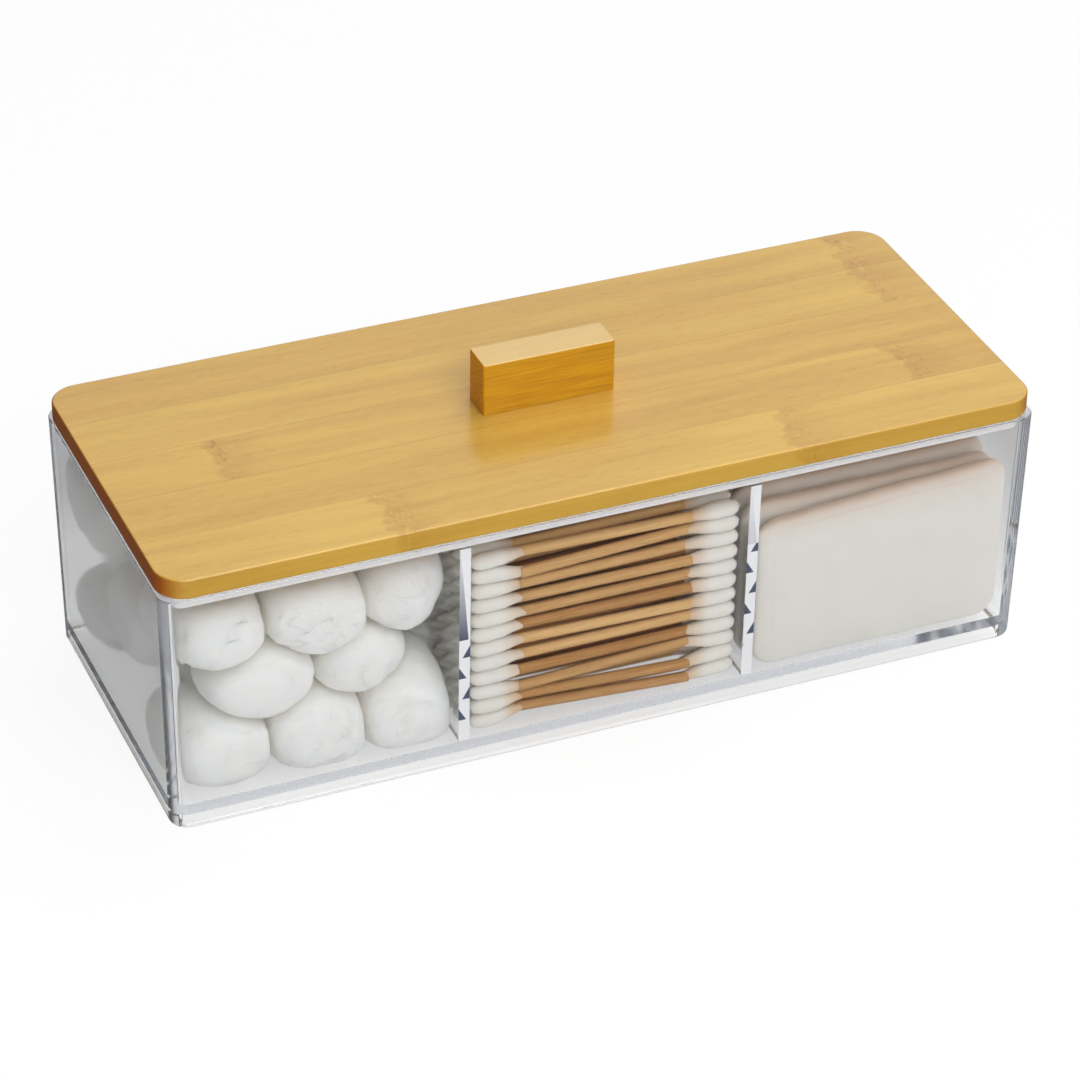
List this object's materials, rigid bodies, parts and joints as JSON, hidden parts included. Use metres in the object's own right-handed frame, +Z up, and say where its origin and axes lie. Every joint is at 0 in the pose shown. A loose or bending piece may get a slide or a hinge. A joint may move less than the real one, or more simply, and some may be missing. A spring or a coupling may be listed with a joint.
{
  "type": "cotton pad holder",
  "caption": "Clear three-compartment box with a lift-off bamboo lid and block handle, holding cotton balls, cotton swabs and rectangular cotton pads.",
  "frame": {"origin": "on the ground, under the middle of the box", "axes": "+X along the box from the cotton ball room to the cotton pad room, +Y to the back, +Z up"},
  "size_m": [0.24, 0.0982, 0.0907],
  "materials": {
    "clear_plastic": "polished, water clear",
    "locating_plate": "clear sheet whose edges look pale grey",
    "bamboo": "satin lacquer, strips glued edge to edge",
    "screw_steel": "zinc plated",
    "cotton": "soft, matt, fibrous",
    "swab_stick": "smooth bamboo stick with wound cotton buds"
  },
  "bodies": {
    "box": {"box_tub": "clear_plastic", "cotton_ball_01": "cotton", "cotton_ball_02": "cotton", "cotton_ball_03": "cotton", "cotton_ball_04": "cotton", "cotton_ball_05": "cotton", "cotton_ball_06": "cotton", "cotton_ball_07": "cotton", "cotton_ball_08": "cotton", "cotton_ball_09": "cotton", "cotton_ball_10": "cotton", "cotton_ball_11": "cotton", "cotton_ball_12": "cotton", "cotton_ball_13": "cotton", "cotton_ball_14": "cotton", "cotton_ball_15": "cotton", "cotton_ball_16": "cotton", "cotton_ball_17": "cotton", "cotton_ball_18": "cotton", "cotton_ball_19": "cotton", "cotton_ball_20": "cotton", "cotton_ball_21": "cotton", "cotton_ball_22": "cotton", "cotton_ball_23": "cotton", "cotton_pad_01": "cotton", "cotton_pad_02": "cotton", "cotton_pad_03": "cotton", "cotton_pad_04": "cotton", "cotton_pad_05": "cotton", "cotton_pad_06": "cotton", "cotton_pad_07": "cotton", "cotton_pad_08": "cotton", "cotton_pad_09": "cotton", "cotton_pad_10": "cotton", "cotton_pad_11": "cotton", "cotton_pad_12": "cotton", "cotton_pad_13": "cotton", "cotton_pad_14": "cotton", "cotton_pad_15": "cotton", "cotton_swabs_1": "swab_stick", "cotton_swabs_2": "swab_stick", "cotton_swabs_3": "swab_stick", "cotton_swabs_4": "swab_stick", "cotton_swabs_5": "swab_stick", "cotton_swabs_6": "swab_stick", "left_divider": "clear_plastic", "right_divider": "clear_plastic"},
    "lid": {"handle_screws": "screw_steel", "lid_handle": "bamboo", "lid_locating_plate": "locating_plate", "lid_strip_1": "bamboo", "lid_strip_2": "bamboo", "lid_strip_3": "bamboo", "lid_strip_4": "bamboo", "lid_strip_5": "bamboo"}
  },
  "joints": [
    {"name": "lid_lift", "type": "slide", "parent": "box", "child": "lid", "axis": [0, 0, 1], "range_m": [0, 0.12]}
  ]
}
